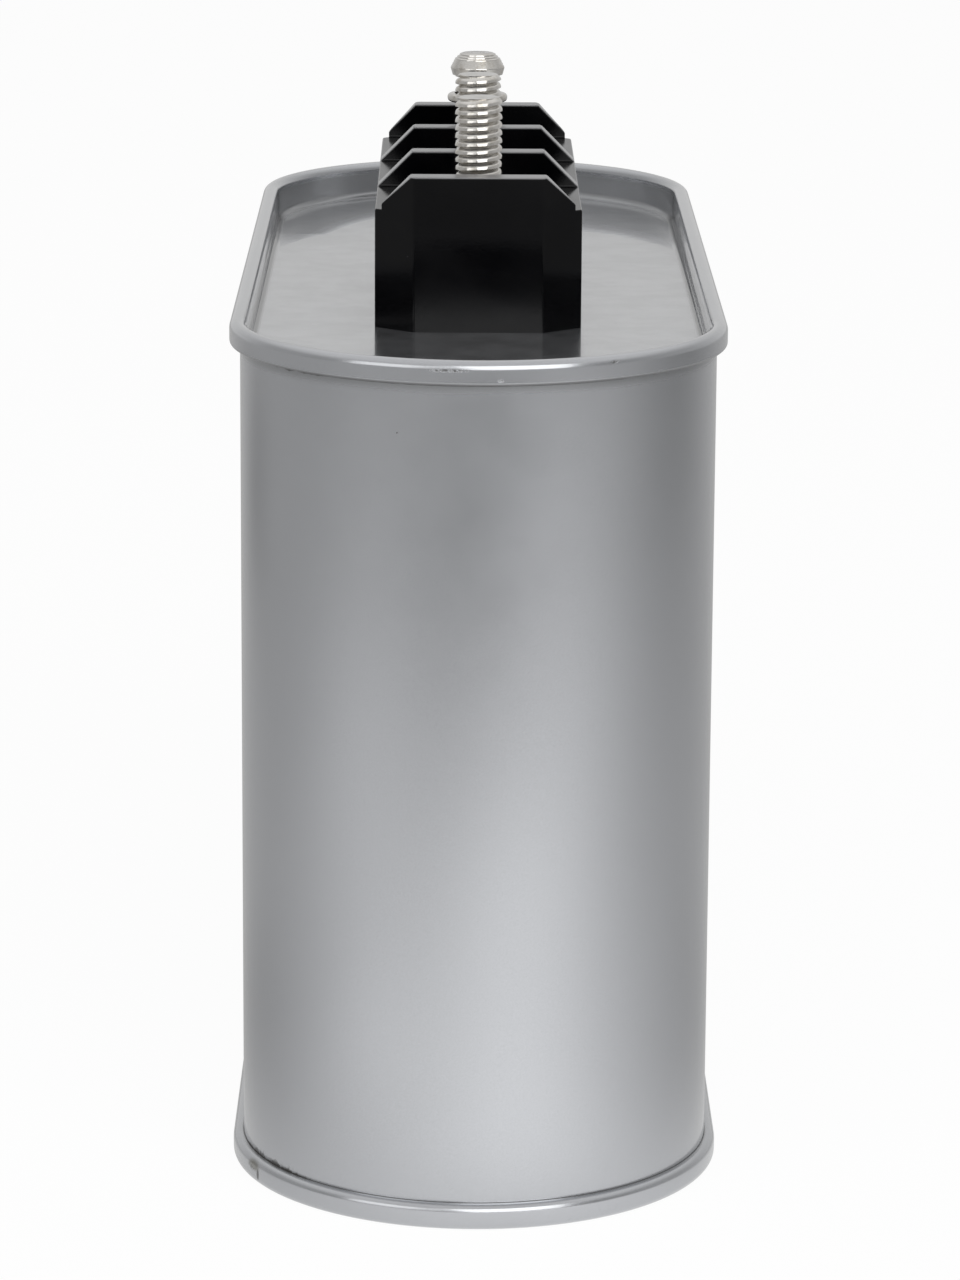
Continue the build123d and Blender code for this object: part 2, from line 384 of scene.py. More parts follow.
def beside(socket, kind):
    """A new node in the tree that a socket belongs to."""
    return socket.id_data.nodes.new(kind)


def feed(socket, value):
    """Set a socket, or link it where the value is another node's output."""
    if isinstance(value, NodeSocket):
        socket.id_data.links.new(value, socket)
    else:
        socket.default_value = value


def maths(operation, *values):
    """One sum on up to three numbers."""
    node = beside(only(NodeSocket, values)[0], "ShaderNodeMath")
    node.operation = operation
    for socket, value in zip(node.inputs, values):
        feed(socket, value)
    return node.outputs[0]


def chained(operation, amounts):
    """One sum carried through several amounts."""
    found = amounts[0]
    for amount in amounts[1:]:
        found = maths(operation, found, amount)
    return found


def times(*amounts):
    """The product of several amounts."""
    return chained("MULTIPLY", amounts)


def highest(*amounts):
    """The largest of several amounts."""
    return chained("MAXIMUM", amounts)


def scaled(amount, factor, base):
    """An amount times a factor, added to a base."""
    return maths("MULTIPLY_ADD", amount, factor, base)


def vectors(operation, first, second=(0, 0, 0), output="Vector"):
    """One sum on two vectors."""
    node = beside(first, "ShaderNodeVectorMath")
    node.operation = operation
    feed(node.inputs[0], first)
    feed(node.inputs[1], second)
    return node.outputs[output]


def spread(value, low, high, at_low=0.0, at_high=1.0):
    """Carry a number smoothly from one range to another."""
    node = beside(value, "ShaderNodeMapRange")
    node.interpolation_type = "SMOOTHSTEP"
    feed(node.inputs["Value"], value)
    node.inputs["From Min"].default_value = low
    node.inputs["From Max"].default_value = high
    node.inputs["To Min"].default_value = at_low
    node.inputs["To Max"].default_value = at_high
    return node.outputs["Result"]


def axes_of(place):
    """The three coordinates of a place."""
    node = beside(place, "ShaderNodeSeparateXYZ")
    feed(node.inputs["Vector"], place)
    return node.outputs


def shine(shader, sockets):
    """Set or link the shader's own sockets."""
    for name, value in sockets.items():
        feed(shader.inputs[name], value)


def grain(place, size, detail=2.0, roughness=0.5):
    """Cloudy noise whose features are about this large."""
    node = beside(place, "ShaderNodeTexNoise")
    feed(node.inputs["Vector"], place)
    node.inputs["Scale"].default_value = 1 / size
    node.inputs["Detail"].default_value = detail
    node.inputs["Roughness"].default_value = roughness
    return node.outputs["Fac"]


def specks(place, spacing, radius, few):
    """Small round specks in some of the cells of a grid; few is the share of cells left empty."""
    cells = beside(place, "ShaderNodeTexVoronoi")
    feed(cells.inputs["Vector"], place)
    cells.inputs["Scale"].default_value = 1 / spacing
    dots = spread(cells.outputs["Distance"], radius / spacing, SPECK_CORE * radius / spacing)
    pick = beside(place, "ShaderNodeSeparateColor")
    feed(pick.inputs["Color"], cells.outputs["Color"])
    chosen = maths("GREATER_THAN", pick.outputs["Red"], few)
    return times(dots, chosen)


def patch(place, centre, reach):
    """A soft spot round a centre, as far as its reach each way."""
    offset = vectors("SUBTRACT", place, centre)
    shrunk = vectors("DIVIDE", offset, reach)
    distance = vectors("LENGTH", shrunk, output="Value")
    return spread(distance, 1.0, PATCH_CORE)


def band(height, level, reach):
    """A soft level line round the part."""
    off = maths("ABSOLUTE", maths("SUBTRACT", height, level))
    return spread(maths("DIVIDE", off, reach), 1.0, BAND_CORE)


def oval_distance(axes, can):
    """How far out from the middle line of the oval a point lies."""
    along = maths("SUBTRACT", maths("ABSOLUTE", axes["Y"]), can.half_straight)
    past_straight = highest(along, 0.0)
    squares = [times(part, part) for part in (axes["X"], past_straight)]
    return maths("SQRT", maths("ADD", *squares))


def inside_rim(axes, can):
    """Whether a point lies inside the recess of an end."""
    chuck = recess_face(can)
    return spread(oval_distance(axes, can), chuck, chuck - 0.5 * MM)


def blend_colours(amount, first, second):
    """Mix two colours by an amount."""
    node = beside(amount, "ShaderNodeMix")
    node.data_type = "RGBA"
    feed(node.inputs["Factor"], amount)
    for name, tint in (("A", first), ("B", second)):
        feed(node.inputs[name], tint if isinstance(tint, NodeSocket) else (*tint, 1))
    return node.outputs["Result"]


def relief(height, distance, normal=None):
    """Bump from a height, which is a share of a distance."""
    node = beside(height, "ShaderNodeBump")
    node.inputs["Distance"].default_value = distance
    feed(node.inputs["Height"], height)
    if normal is not None:
        feed(node.inputs["Normal"], normal)
    return node.outputs["Normal"]


# Places of the scuffs on the can, in millimetres, each with its reach across, along and up
SCUFFS = (
    ((-3.7, -85.0, 105.3), (3.2, 1.2, 0.26)),
    ((2.4, -85.3, 104.15), (0.6, 1.2, 0.2)),
    ((15.8, -80.8, 105.65), (0.9, 1.2, 0.25)),
    ((21.3, -76.3, 103.8), (0.7, 1.0, 0.22)),
    ((-25.6, -71.2, 3.5), (0.5, 0.8, 0.3)),
    ((-27.6, -67.5, 2.1), (0.9, 1.6, 0.5)),
)
# The smear at the lower left and the tick in it, then the rucked stretch of the lower fold and the frayed
# stretches of the upper one
SMEAR = ((-27.3, -68.2, 2.35), (1.5, 2.4, 0.85))
TICK = ((-26.75, -69.3, 1.5), (0.32, 0.5, 1.0))
RUCKED = ((-25.4, -69.4, 3.3), (8.5, 11.0, 6.0))
FRAYED = (((-22.5, -75.0, 103.5), (6.0, 6.5, 3.0)), ((20.0, -77.0, 103.5), (4.0, 4.0, 3.0)))


def worn_patch(place, spot):
    """A patch whose centre and reach are in millimetres."""
    centre, reach = spot
    return patch(place, [MM * size for size in centre], [MM * size for size in reach])


# Painted shadow and dirt in the folds: reach of the lower line and of its rucks, of the upper line and of
# its fraying, how far that one sways, and reach and strength of the painted shade under the upper seam and
# of the painted dark line on its lip
LOWER_LINE = 0.11 * MM
RUCK = 0.9 * MM
UPPER_LINE = 0.46 * MM
FRAY = 0.1 * MM
SWAY = 1.2 * MM
SHADE_REACH = 1.6 * MM
SHADE_STRENGTH = 0.36
LIP_SHADE_REACH = 0.45 * MM
LIP_SHADE_STRENGTH = 0.75


def fold_dirt_and_shade(place, axes, can, fray):
    """Painted shadow and dirt where the seams meet the wall: a thin dark line, thick and wavy where rucked
    or frayed.
    """
    height = axes["Z"]
    face = wall_face(can)
    out = oval_distance(axes, can)
    past_inside = spread(out, face - 0.3 * MM, face - 0.1 * MM)
    beside_wall = times(spread(out, face + 0.6 * MM, face + 0.15 * MM), past_inside)
    rucked = worn_patch(place, RUCKED)
    sway = maths("SUBTRACT", grain(place, 1.9 * MM, 2.0), 0.5)
    ragged = times(rucked, spread(fray, 0.35, 0.65))
    corner = spread(out, face + 0.25 * MM, face + 0.05 * MM)
    in_corner = highest(corner, times(rucked, 0.6))
    thick = spread(rucked, 0.0, 0.5, 0.65, 1.0)
    # Lower line: painted shadow in the crevice under the lower seam, thick and ragged with dirt where it is
    # rucked
    lower = band(height, can.base_seam, scaled(ragged, RUCK, LOWER_LINE))
    lower = times(lower, thick, in_corner)
    frayed = highest(*(worn_patch(place, spot) for spot in FRAYED))
    hem = can.height - can.lid_seam
    level = scaled(times(sway, frayed), SWAY, hem)
    # Upper line: painted shade under the hem of the upper seam, wavy with dirt where it is frayed
    upper = band(height, level, scaled(frayed, FRAY, UPPER_LINE))
    upper = times(upper, spread(fray, 0.25, 0.55, 0.82, 1.0))
    # Painted shade under the upper seam, and a painted dark line along its lip
    shade = times(band(height, hem, SHADE_REACH), SHADE_STRENGTH)
    lip_shade = times(band(height, hem, LIP_SHADE_REACH), LIP_SHADE_STRENGTH, past_inside)
    return highest(lip_shade, times(highest(lower, upper, shade), beside_wall))


def recess_painted_shade(axes, can):
    """Painted shade in the recess of the lid: a darker film on its wall, and a dark line along the straight
    of its foot.
    """
    height = axes["Z"]
    chuck = recess_face(can)
    out = oval_distance(axes, can)
    past_foot = spread(out, chuck - can.countersink_radius, chuck - 0.3 * MM)
    on_wall = times(past_foot, spread(out, chuck + 0.3 * MM, chuck + 0.1 * MM))
    # A darker film of painted shade on the recess wall, and a painted dark line at its foot along the
    # straights
    film = spread(height, can.height - 1.1 * MM, can.height - 1.7 * MM, 0.0, 0.3)
    line = times(band(height, lid_level(can) + 0.4 * MM, 0.7 * MM), 0.9)
    along = maths("ABSOLUTE", axes["Y"])
    line = times(line, spread(along, can.half_straight + 8 * MM, can.half_straight))
    return times(highest(film, line), on_wall)


# The sprung lid: its slopes at the far left and beside the block, where it is flat, and how far it reaches
FAR_SLOPE = -0.014
NEAR_SLOPE = 0.036
FLAT_PLACE = 65 * MM
TWIST_REACH = 22 * MM


def lid_twist(axes):
    """How far the back of the lid is sprung out of flat: it rises beside the block, more at the left."""
    left = spread(axes["X"], -25 * MM, -13 * MM, FAR_SLOPE, NEAR_SLOPE)
    slope = maths("ADD", left, spread(axes["X"], -8 * MM, 8 * MM, 0.0, -NEAR_SLOPE))
    along = highest(maths("SUBTRACT", axes["Y"], FLAT_PLACE), -TWIST_REACH)
    return times(slope, along)


# The paint's metal, how far smudges change the lid's tone and metal, what a film takes from the lid's metal,
# and what dirt and painted shade take from the metal and add to the roughness
PAINT_METAL = 0.87
SMUDGE_TONE = 0.34
SMUDGE_METAL = 0.30
FILM_METAL = -0.14
DIRT_AND_SHADE_METAL = -0.6
DIRT_AND_SHADE_ROUGHNESS = 0.25


def paint_finish(finish, can):
    """Silver metallic paint under a clear coat, with dirt and painted shade in the folds and the recess,
    scuffs and specks.
    """
    shader, place = new_material("silver_paint")[1:]
    axes = axes_of(place)
    flakes = grain(place, 0.22 * MM, 1.0)
    clouds = grain(place, 14 * MM, 3.0, 0.6)
    fray = grain(place, 1.1 * MM, 4.0, 0.7)
    tone = scaled(flakes, 0.55, times(clouds, 0.35))
    on_lid = times(band(axes["Z"], lid_level(can), 1.2 * MM), inside_rim(axes, can))
    streaks = grain(place, 6.0 * MM, 4.0, 0.62)
    smudges = spread(streaks, 0.32, 0.68, -SMUDGE_TONE, SMUDGE_TONE)
    paint = blend_colours(scaled(smudges, on_lid, tone), finish.paint_shade, finish.paint)
    worn = highest(*(worn_patch(place, spot) for spot in SCUFFS))
    grit = grain(place, 0.55 * MM, 3.0, 0.7)
    scuffs = times(worn, spread(grit, 0.46, 0.58), finish.scuff_amount)
    smear = times(worn_patch(place, SMEAR), spread(fray, 0.3, 0.5, 0.7, 1.0))
    dots = times(specks(place, 7.5 * MM, 0.16 * MM, 0.72), 0.8)
    tick = times(worn_patch(place, TICK), 0.95)
    # Dirt and painted shadow along the folds, and painted shade in the lid's recess
    grime_and_shade = highest(fold_dirt_and_shade(place, axes, can, fray), recess_painted_shade(axes, can))
    # dirt holds the painted shade of the folds and the recess as well as the scuffs, specks and tick
    dirt = highest(grime_and_shade, scuffs, dots, tick)
    soiled = blend_colours(smear, paint, finish.smear)
    metal = scaled(on_lid, scaled(smudges, SMUDGE_METAL, FILM_METAL), PAINT_METAL)
    rough = spread(clouds, 0.3, 0.7, 0.215, 0.255)
    surface = relief(grain(place, 22 * MM, 1.0), 0.05 * MM)
    surface = relief(grain(place, 1.6 * MM, 1.0), 0.003 * MM, surface)
    surface = relief(times(lid_twist(axes), on_lid), 1.0, surface)
    surface = relief(maths("SUBTRACT", 1.0, scuffs), 0.03 * MM, surface)
    sockets = {
        "Base Color": blend_colours(dirt, soiled, finish.grime_and_shade),
        "Metallic": scaled(highest(dirt, smear), DIRT_AND_SHADE_METAL, metal),
        "Roughness": scaled(dirt, DIRT_AND_SHADE_ROUGHNESS, rough),
        "Coat Weight": 1.0,
        "Coat Roughness": 0.035,
        "Coat IOR": 1.48,
        "Normal": surface,
        "Coat Normal": surface,
    }
    shine(shader, sockets)


def fin_top_dust_and_highlight(place, block):
    """Where the block is painted paler, as settled dust and as painted highlight lines: along the fin tops
    and down their shoulders.
    """
    axes = axes_of(place)
    height = axes["Z"]
    slope = 2 * block.fin_height / (block.width - block.fin_top_width)
    across = maths("ABSOLUTE", axes["X"])
    ridge = scaled(across, slope, height)
    shoulder = block.fin_level + slope * block.fin_top_width / 2
    on_top = spread(height, block.fin_level - 0.16 * MM, block.fin_level - 0.05 * MM)
    on_slope = spread(ridge, shoulder - 0.20 * MM, shoulder - 0.06 * MM)
    return highest(on_top, on_slope)


# How strongly haze and specks of dust show on the moulding
HAZE = 0.004
SPECK_STRENGTH = 0.12


def moulding_finish(finish, block):
    """Glossy black moulded plastic with a little dust, and fin tops painted paler as highlight lines."""
    shader, place = new_material("black_moulding")[1:]
    film = grain(place, 9 * MM, 3.0, 0.6)
    dots = specks(place, 2.2 * MM, 0.12 * MM, 0.80)
    haze = times(spread(film, 0.35, 0.75), HAZE)
    # Fin tops and shoulders painted paler: settled dust and painted highlight lines
    fin_dust_and_highlight = times(fin_top_dust_and_highlight(place, block), spread(film, 0.2, 0.8, 0.75, 1.0))
    # dirt holds the painted highlight on the fins as well as the haze and specks
    dirt = highest(haze, times(dots, SPECK_STRENGTH), fin_dust_and_highlight)
    texture = relief(grain(place, 0.5 * MM, 2.0), 0.004 * MM)
    sockets = {
        "Base Color": blend_colours(dirt, finish.moulding, finish.dust_and_highlight),
        "Roughness": spread(film, 0.3, 0.7, 0.10, 0.16),
        "IOR": 1.5,
        "Specular IOR Level": 0.2,
        "Normal": relief(grain(place, 16 * MM, 1.0), 0.05 * MM, texture),
    }
    shine(shader, sockets)


def plating_finish(finish):
    """Bright plated steel, warmer and duller in patches."""
    shader, place = new_material("bright_plating")[1:]
    tarnish = grain(place, 1.8 * MM, 3.0, 0.65)
    amount = spread(tarnish, 0.45, 0.75, 0.0, 0.8)
    sockets = {
        "Base Color": blend_colours(amount, finish.plating, finish.plating_shade),
        "Metallic": 0.85,
        "Roughness": spread(tarnish, 0.3, 0.7, 0.11, 0.19),
        "Normal": relief(grain(place, 0.25 * MM, 2.0), 0.006 * MM),
    }
    shine(shader, sockets)


def plain_finish(name, colours, size, roughness, metallic):
    """A finish for a sealed piece: two tones of its colour in a grain, with a fine relief."""
    material, shader, place = new_material(name)
    tone = grain(place, size, 3.0, 0.6)
    sockets = {
        "Base Color": blend_colours(tone, *colours),
        "Roughness": spread(tone, 0.3, 0.7, roughness, roughness + 0.12),
        "Metallic": metallic,
        "Normal": relief(grain(place, size / 4), INNER_RELIEF),
    }
    shine(shader, sockets)
    return material


# Sealed pieces: what their nodes' names end in, two tones, grain in millimetres, roughness and metal
INNER_FINISHES = {
    "rubber_seal": (("lid_gasket",), ((0.022, 0.022, 0.022), (0.05, 0.05, 0.05)), 2.0, 0.55, 0.0),
    "pressed_board": (
        ("clamp_plate", "bottom_insulator"), ((0.33, 0.20, 0.10), (0.50, 0.34, 0.19)), 3.0, 0.6, 0.0
    ),
    "inner_plating": (
        ("base_washers", "base_nuts"), ((0.60, 0.58, 0.54), (0.76, 0.74, 0.70)), 1.5, 0.25, 1.0
    ),
    "tinned_copper": (("solder_tag", "_lead"), ((0.62, 0.56, 0.50), (0.78, 0.75, 0.71)), 2.0, 0.25, 1.0),
    "metallised_film": (("_winding",), ((0.52, 0.52, 0.50), (0.68, 0.68, 0.66)), 1.2, 0.28, 0.6),
    "white_tube": (
        ("core_tube", "insulating_sleeve"), ((0.70, 0.70, 0.67), (0.84, 0.84, 0.82)), 4.0, 0.45, 0.0
    ),
    "resistor_coat": (("discharge_resistor",), ((0.26, 0.33, 0.31), (0.40, 0.47, 0.45)), 1.0, 0.5, 0.0),
}


class CAPACITOR_OT_can_wall(bpy.types.Operator):
    """Make the wall of the can, with the hooks that its seams fold over"""

    bl_idname = "capacitor.can_wall"
    bl_label = "Can Wall"

    def execute(self, context):
        can = context.scene.capacitor_can
        lower = [(out, can.height - up) for out, up in reversed(self.hook(can, can.base_seam))]
        bm, corners = section_wire(self.hook(can, can.lid_seam) + lower)
        bm.edges.new((corners[-1], corners[0]))
        carry_round(bm, can.half_straight, can.panel_margin, can.turn_steps)
        piece_from(bm, "can_wall", "can_paint", "can_body")
        return {"FINISHED"}

    def hook(self, can, seam):
        """Corners of the hook at the upper end of the wall, inside a seam of this height."""
        layer = can.sheet + can.fold_gap
        face = wall_face(can)
        edge = can.height - layer
        back = face + 2 * layer
        foot = can.height - seam + can.sheet + can.hook_gap
        return [
            (face, edge - can.sheet),
            (back - can.sheet, edge - can.sheet),
            (back - can.sheet, foot),
            (back, foot),
            (back, edge),
            (face - can.sheet, edge),
        ]


def end_mesh(can, seam, hem_radius, holes):
    """A seamed end as it lies on top: its rim carried round, and a panel with round holes."""
    layer = can.sheet + can.fold_gap
    face = wall_face(can)
    chuck = recess_face(can)
    panel = chuck - 2 * can.countersink_radius
    level = lid_level(can)
    hem = can.height - seam
    hook_top = can.height - layer - can.sheet - can.hook_gap
    back = can.rim_radius - can.sheet
    rim = [
        (panel - can.panel_margin, level),
        (panel, level),
        (chuck, level),
        (chuck, can.height),
        (can.rim_radius, can.height),
        (can.rim_radius, hem),
        (face + can.fold_gap, hem),
        (face + can.fold_gap, hook_top),
        (face + layer, hook_top),
        (face + layer, hem + can.sheet),
        (back - can.hook_gap, hem + can.sheet),
        (back, hem + can.sheet + can.hook_gap),
        (back, can.height - can.sheet),
        (chuck + can.sheet, can.height - can.sheet),
        (chuck + can.sheet, level - can.sheet),
        (panel - can.panel_margin, level - can.sheet),
    ]
    bm, corners = section_wire(rim)
    round_off(bm, [corners[2]], can.countersink_radius, FILLET_STEPS)
    round_off(bm, [corners[3], corners[4]], can.crown_radius, ROUND_STEPS)
    round_off(bm, [corners[5]], hem_radius, ROUND_STEPS)
    carry_round(bm, can.half_straight, can.panel_margin, can.turn_steps)
    open_loops = [edge for edge in bm.edges if edge.is_boundary]
    hole_loops = []
    for side in (level, level - can.sheet):
        border = [edge for edge in open_loops if abs(edge.verts[0].co.z - side) < can.sheet / 4]
        for number, (centre, radius) in enumerate(holes):
            loop = circle_edges(bm, radius, HOLE_STEPS, (*centre, side))
            border += loop
            hole_loops.append((number, loop))
        bmesh.ops.triangle_fill(bm, use_beauty=True, edges=border)
    for number in range(len(holes)):
        both = [edge for place, loop in hole_loops if place == number for edge in loop]
        bmesh.ops.bridge_loops(bm, edges=both)
    return bm


class CAPACITOR_OT_can_ends(bpy.types.Operator):
    """Make the lid and the bottom end, rolled over the wall in double seams"""

    bl_idname = "capacitor.can_ends"
    bl_label = "Can Ends"

    def execute(self, context):
        can = context.scene.capacitor_can
        stud = context.scene.capacitor_stud
        block = context.scene.capacitor_block
        room = 2 * stud.clearance
        holes = [((0, step * stud.spacing), block.collar_radius + room) for step in PHASES.values()]
        lid = end_mesh(can, can.lid_seam, can.lid_hem_radius, holes)
        piece_from(lid, "lid", "can_paint", "top_lid")
        bottom = end_mesh(can, can.base_seam, can.base_hem_radius, [])
        bmesh.ops.rotate(
            bottom,
            verts=bottom.verts[:],
            cent=(0, 0, can.height / 2),
            matrix=Matrix.Rotation(math.pi, 3, "Y"),
        )
        piece_from(bottom, "can_bottom", "can_paint", "bottom_end")
        return {"FINISHED"}


def block_bar(block, foot):
    """The block's moulding: a bar with fins raised on it and its four corners cut."""
    floor = bay_floor(block)
    half_width = block.width / 2
    half_length = block.length / 2
    bm = bmesh.new()
    bmesh.ops.create_cube(bm, size=1)
    bmesh.ops.scale(bm, verts=bm.verts[:], vec=(block.width, block.length, floor - foot))
    move(bm, (0, 0, (floor + foot) / 2))
    spacing = (block.length - block.fin_thickness) / len(PHASES)
    middles = [spacing * (place - len(PHASES) / 2) for place in range(len(PHASES) + 1)]
    for middle in middles:
        for side in (-1 / 2, 1 / 2):
            cut = middle + side * block.fin_thickness
            if abs(cut) < half_length - MERGE_DISTANCE:
                bmesh.ops.bisect_plane(bm, geom=everything(bm), plane_co=(0, cut, 0), plane_no=(0, 1, 0))
    reach = block.fin_thickness / 2
    tops = [
        face
        for face in bm.faces
        if face.normal.z > LIES_LEVEL
        and any(abs(face.calc_center_median().y - middle) < reach for middle in middles)
    ]
    raised = only(BMVert, bmesh.ops.extrude_face_region(bm, geom=tops)["geom"])
    bmesh.ops.delete(bm, geom=tops, context="FACES_ONLY")
    move(bm, (0, 0, block.fin_height), raised)
    bmesh.ops.scale(bm, verts=raised, vec=(block.fin_top_width / block.width, 1, 1))
    for across in (-1, 1):
        for along in (-1, 1):
            bmesh.ops.bisect_plane(
                bm,
                geom=everything(bm),
                plane_co=(across * half_width, along * (half_length - block.corner_cut_depth), 0),
                plane_no=(across * block.corner_cut_depth, along * block.corner_cut_width, 0),
                clear_outer=True,
            )
            close_holes(bm)
    bmesh.ops.recalc_face_normals(bm, faces=bm.faces[:])
    bmesh.ops.dissolve_limit(
        bm,
        angle_limit=FLAT_ANGLE,
        verts=bm.verts[:],
        edges=bm.edges[:],
        use_dissolve_boundaries=False,
    )
    return bm


class CAPACITOR_OT_terminal_block(bpy.types.Operator):
    """Make the black terminal block with its four fins and three bays"""

    bl_idname = "capacitor.terminal_block"
    bl_label = "Terminal Block"

    def execute(self, context):
        block = context.scene.capacitor_block
        can = context.scene.capacitor_can
        stud = context.scene.capacitor_stud
        foot = lid_level(can)
        bm = block_bar(block, foot)
        creases = [edge for edge in bm.edges if self.is_crease(edge, foot)]
        round_off(bm, creases, block.edge_radius, EDGE_STEPS, "EDGES")
        for step in PHASES.values():
            self.sink_pocket(bm, block, (0, step * stud.spacing, bay_floor(block)))
        piece_from(bm, "finned_block", "block_plastic", "terminal_block")
        return {"FINISHED"}

    def is_crease(self, edge, foot):
        """Whether an edge is sharp and doesn't lie along the foot of the block."""
        levels = [corner.co.z for corner in edge.verts]
        sharp = edge.calc_face_angle(0) > SHARP_ANGLE / 2
        return sharp and max(levels) > foot and min(levels) > foot - MERGE_DISTANCE

    def sink_pocket(self, bm, block, centre):
        """Sink the round recess for a stud's shoulder into the floor of its bay."""
        middle = Vector(centre)
        reach = block.pocket_radius
        found = [
            face
            for face in bm.faces
            if face.normal.z > LIES_LEVEL
            and abs(face.calc_center_median().z - middle.z) < MERGE_DISTANCE
            and abs(face.calc_center_median().y - middle.y) < reach
        ]
        if not found:
            raise RuntimeError("the block has no floor for a stud's recess")
        bay = max(found, key=lambda face: face.calc_area())
        border = bay.edges[:]
        bmesh.ops.delete(bm, geom=[bay], context="FACES_ONLY")
        loop = circle_edges(bm, reach, POCKET_STEPS, middle)
        bmesh.ops.triangle_fill(bm, use_beauty=True, edges=border + loop)
        sunk = only(BMVert, bmesh.ops.extrude_edge_only(bm, edges=loop)["geom"])
        move(bm, (0, 0, -block.pocket_depth), sunk)
        close_holes(bm)


# One turn of the thread from root to root, with a full crest: shares of its depth and of its pitch
THREAD_SHARES = ((1, 0), (0, 0.22), (0.025, 0.42), (0.12, 0.58), (0.28, 0.71), (1, 1))


def thread_mesh(stud, foot, tip):
    """A threaded rod with a bevelled tip, standing on the axis."""
    below = foot - 2 * stud.pitch
    section = [
        (stud.radius - sunk * stud.thread_depth, below + up * stud.pitch) for sunk, up in THREAD_SHARES
    ]
    bm = section_wire(section)[0]
    bmesh.ops.spin(
        bm,
        geom=bm.verts[:] + bm.edges[:],
        cent=(0, 0, 0),
        axis=(0, 0, 1),
        dvec=(0, 0, stud.pitch / stud.turn_steps),
        angle=2 * math.pi,
        steps=stud.turn_steps,
        use_merge=False,
    )
    turn = everything(bm)
    for number in range(1, math.ceil((tip - below) / stud.pitch) + 2):
        raised = only(BMVert, bmesh.ops.duplicate(bm, geom=turn)["geom"])
        move(bm, (0, 0, number * stud.pitch), raised)
    bmesh.ops.remove_doubles(bm, verts=bm.verts[:], dist=MERGE_DISTANCE)
    for level, facing in ((foot, -1), (tip, 1)):
        bmesh.ops.bisect_plane(
            bm, geom=everything(bm), plane_co=(0, 0, level), plane_no=(0, 0, facing), clear_outer=True
        )
    close_holes(bm)
    for corner in bm.verts:
        limit = stud.radius - max(0, corner.co.z - (tip - stud.chamfer))
        out = corner.co.xy.length
        if out > limit:
            corner.co.xy *= limit / out
    return bm


class CAPACITOR_OT_studs(bpy.types.Operator):
    """Make the three threaded studs with their shoulders"""

    bl_idname = "capacitor.studs"
    bl_label = "Studs"

    def execute(self, context):
        stud = context.scene.capacitor_stud
        block = context.scene.capacitor_block
        floor = bay_floor(block)
        for name, step in PHASES.items():
            low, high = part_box(f"{name}_stud")
            bm = thread_mesh(stud, floor - stud.pitch, high.z)
            under = floor - stud.shoulder_height
            shank = [
                (0, low.z),
                (stud.radius, low.z),
                (stud.radius, under),
                (stud.shoulder_radius, under),
                (stud.shoulder_radius, floor),
                (0, floor),
            ]
            lathe(bm, shank, stud.turn_steps)
            move(bm, (0, step * stud.spacing, 0))
            piece_from(bm, f"{name}_threaded_stud", "plated_steel", f"{name}_stud")
        return {"FINISHED"}


class CAPACITOR_OT_cap_and_ring(bpy.types.Operator):
    """Make the barrel-shaped cap and the ring on the rear stud"""

    bl_idname = "capacitor.cap_and_ring"
    bl_label = "Cap and Ring"

    def execute(self, context):
        stud = context.scene.capacitor_stud
        bore = stud.radius + stud.clearance
        around = (0, PHASES["rear"] * stud.spacing, 0)
        ceiling = rear_stud_high.z
        belly = ((cap_high.x - cap_low.x) / 2, cap_low.z + stud.cap_belly)
        shoulder = (bore, cap_high.z - stud.cap_shoulder_drop)
        crown = (stud.cap_crown_radius, cap_high.z)
        outline = [
            (0, ceiling),
            (bore - stud.chamfer, ceiling),
            (bore, ceiling - stud.chamfer),
            (bore, cap_low.z),
            (stud.radius + stud.cap_foot_wall, cap_low.z),
        ]
        for start, finish in ((belly, shoulder), (shoulder, crown)):
            outline += self.grooved(start, finish, stud)
        outline += [crown, (0, cap_high.z)]
        bm = bmesh.new()
        lathe(bm, outline, stud.turn_steps)
        move(bm, around)
        piece_from(bm, "barrel_cap", "plated_steel", "rear_stud_cap")
        rim = (ring_high.x - ring_low.x) / 2
        under, over = ring_low.z, ring_high.z
        bm, corners = section_wire([(bore, under), (rim, under), (rim, over), (bore, over), (bore, under)])
        round_off(bm, corners[1:3], RING_ROUND * (over - under), FILLET_STEPS)
        full_turn(bm, bm.verts[:] + bm.edges[:], stud.turn_steps)
        move(bm, around)
        piece_from(bm, "grip_ring", "plated_steel", "rear_stud_ring")
        return {"FINISHED"}

    def grooved(self, start, finish, stud):
        """A slope of the cap, turned in steps whose faces lean in a little."""
        points = []
        step = (finish[1] - start[1]) / stud.cap_grooves
        face = (1 - stud.cap_groove_share) * step
        for number in range(stud.cap_grooves):
            out = start[0] + number / stud.cap_grooves * (finish[0] - start[0])
            foot = start[1] + number * step
            points.append((out, foot))
            points.append((out - stud.cap_groove_lean * face, foot + face))
        return points


class CAPACITOR_OT_finishes(bpy.types.Operator):
    """Make the finishes, and give the sealed pieces theirs"""

    bl_idname = "capacitor.finishes"
    bl_label = "Finishes"

    def execute(self, context):
        finish = context.scene.capacitor_finish
        paint_finish(finish, context.scene.capacitor_can)
        moulding_finish(finish, context.scene.capacitor_block)
        plating_finish(finish)
        for name, (endings, tones, size, roughness, metallic) in INNER_FINISHES.items():
            material = plain_finish(name, tones, size * MM, roughness, metallic)
            dressed = [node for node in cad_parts.values() if node.name.endswith(endings)]
            if not dressed:
                raise RuntimeError(f"no sealed piece takes the finish {name}")
            for node in dressed:
                node.data.materials.clear()
                node.data.materials.append(material)
        return {"FINISHED"}


